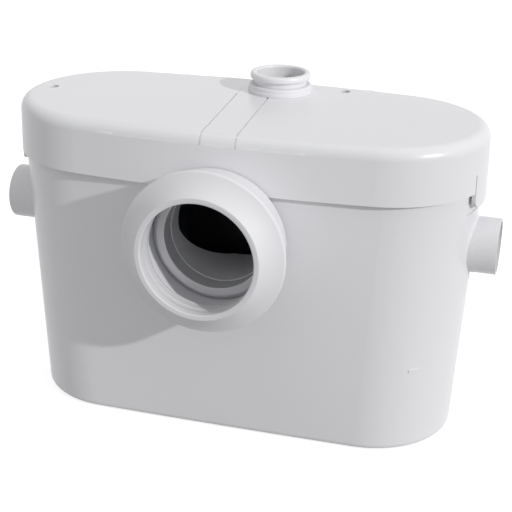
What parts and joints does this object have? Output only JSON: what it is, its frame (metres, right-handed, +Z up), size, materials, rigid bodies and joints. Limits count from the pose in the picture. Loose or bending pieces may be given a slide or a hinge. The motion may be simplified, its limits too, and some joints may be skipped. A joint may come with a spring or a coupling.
{
  "type": "macerator toilet pump",
  "caption": "White macerator pump that stands behind a toilet pan, with a screwed lid, rubber pan collar, side waste spigots, top discharge spigot, and motor, cutter and basket inside.",
  "frame": {"origin": "middle of the tank's footprint on the floor, on the underside of the middle rubber strip", "axes": "+X to the right along the tank's length, -Y to the front towards the toilet pan, +Y to the wall, +Z up"},
  "size_m": [0.4334, 0.248, 0.2894],
  "materials": {
    "white_moulding": "semi-gloss white polypropylene",
    "white_rubber": "smooth white rubber",
    "black_rubber": "matt black rubber",
    "grey_moulding": "matt grey polypropylene",
    "black_moulding": "matt black glass-filled plastic",
    "zinc_steel": "zinc-plated steel",
    "stainless": "bright stainless steel",
    "cast_aluminium": "die-cast aluminium",
    "grey_painted_steel": "grey painted steel",
    "lamination_steel": "dull electrical steel",
    "copper_winding": "varnished copper wire",
    "bearing_steel": "ground steel",
    "capacitor_can": "drawn aluminium"
  },
  "bodies": {
    "housing": {"tank": "white_moulding", "lid": "white_moulding", "lid_gasket": "black_rubber", "inner_cover": "grey_moulding", "lid_screws": "zinc_steel", "floor_pads": "black_rubber", "pan_collar": "white_rubber", "inlet_spout": "white_moulding", "inlet_hood": "black_moulding", "macerating_basket": "black_moulding", "seal_plate": "cast_aluminium", "motor_can": "grey_painted_steel", "stator_core": "lamination_steel", "stator_windings": "copper_winding", "shaft_bearings": "bearing_steel", "shaft_seal": "black_rubber", "pump_volute": "grey_moulding", "volute_plate": "grey_moulding", "pump_cradle": "grey_moulding", "rubber_buffers": "black_rubber", "riser_pipe": "grey_moulding", "discharge_spigot": "white_moulding", "discharge_flap_pin": "stainless", "riser_sleeve": "black_rubber", "hose_clamps": "zinc_steel", "discharge_grommet": "white_rubber", "side_spigot_left": "white_moulding", "side_spigot_right": "white_moulding", "inlet_flap_pins": "stainless", "pressure_tube": "grey_moulding", "level_membrane": "black_rubber", "level_housing": "grey_moulding", "plunger_spring": "stainless", "micro_switch": "black_moulding", "control_box": "grey_moulding", "capacitor": "capacitor_can", "capacitor_clip": "zinc_steel", "vent_filter": "black_moulding", "cable_gland": "white_moulding"},
    "rotor": {"motor_shaft": "stainless", "rotor_core": "lamination_steel", "cutter_blade": "stainless", "impeller": "black_moulding", "shaft_nuts": "zinc_steel"},
    "discharge_valve": {"discharge_flap": "black_rubber"},
    "left_valve": {"inlet_flap_left": "black_rubber"},
    "right_valve": {"inlet_flap_right": "black_rubber"},
    "plunger": {"level_plunger": "white_moulding"}
  },
  "joints": [
    {"name": "rotor_spin", "type": "hinge", "parent": "housing", "child": "rotor", "pos_m": [0, -0.022, 0.076], "axis": [1, 0, 0], "continuous": true},
    {"name": "discharge_flap_swing", "type": "hinge", "parent": "housing", "child": "discharge_valve", "pos_m": [0.01175, 0.0714, 0.2127], "axis": [-1, 0, 0], "range_deg": [0, 70]},
    {"name": "left_flap_swing", "type": "hinge", "parent": "housing", "child": "left_valve", "pos_m": [-0.17645, 0, 0.1989], "axis": [0, -1, 0], "range_deg": [0, 70]},
    {"name": "right_flap_swing", "type": "hinge", "parent": "housing", "child": "right_valve", "pos_m": [0.17645, 0, 0.1989], "axis": [0, 1, 0], "range_deg": [0, 70]},
    {"name": "plunger_lift", "type": "slide", "parent": "housing", "child": "plunger", "axis": [0, 0, 1], "range_m": [0, 0.003], "stiffness_N_per_m": 400, "springref_m": -0.001, "deforming": ["plunger_spring"]}
  ]
}
